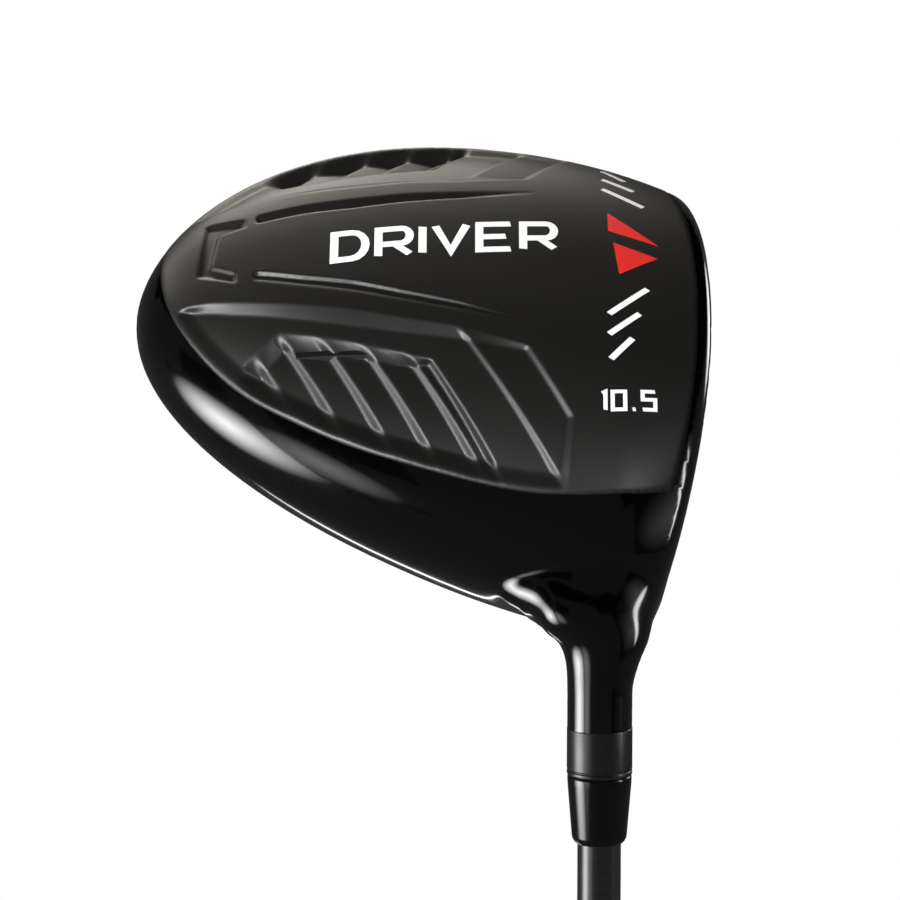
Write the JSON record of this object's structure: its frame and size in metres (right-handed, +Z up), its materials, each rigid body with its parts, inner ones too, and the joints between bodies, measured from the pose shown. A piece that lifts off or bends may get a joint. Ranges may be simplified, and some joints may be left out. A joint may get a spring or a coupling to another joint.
{
  "type": "golf driver",
  "caption": "Right-handed golf driver: large hollow black head with a ribbed matte sole, bonded hosel with ring and ferrule, graphite shaft and rubber grip.",
  "frame": {"origin": "middle of the grip's butt face, on the shaft axis", "axes": "+Z up the shaft axis from the grip to the head; +X towards the target, the way the face looks; the sole faces -Y and up"},
  "size_m": [0.1202, 0.1248, 1.1983],
  "materials": {
    "sole_matte_black": "matte",
    "body_gloss_black": "gloss",
    "face_dark_satin": "satin",
    "ring_satin_grey": "satin",
    "ferrule_black": "gloss",
    "shaft_graphite": "gloss",
    "bond_epoxy": "satin",
    "weight_steel": "satin",
    "tip_brass": "satin",
    "bare_casting": "matte",
    "hot_melt": "satin",
    "paint_white": "satin",
    "paint_red": "satin",
    "grip_rubber": "matte",
    "grip_tape": "matte"
  },
  "bodies": {
    "root": {"sole_panel": "sole_matte_black", "skirt_shell": "body_gloss_black", "crown_shell": "body_gloss_black", "hosel_knuckle": "body_gloss_black", "hosel_tube": "body_gloss_black", "face_plate": "face_dark_satin", "trim_ring": "ring_satin_grey", "ferrule": "ferrule_black", "shaft": "shaft_graphite", "shaft_bond": "bond_epoxy", "tip_weight": "tip_brass", "rear_weight": "weight_steel", "heel_weight": "weight_steel", "sole_rib_heel": "bare_casting", "sole_rib_middle": "bare_casting", "sole_rib_toe": "bare_casting", "hot_melt_pad": "hot_melt", "white_bars": "paint_white", "loft_number": "paint_white", "club_word": "paint_white", "red_emblem": "paint_red", "grip_sleeve": "grip_rubber", "grip_cap": "grip_rubber", "grip_tape": "grip_tape"}
  },
  "joints": []
}
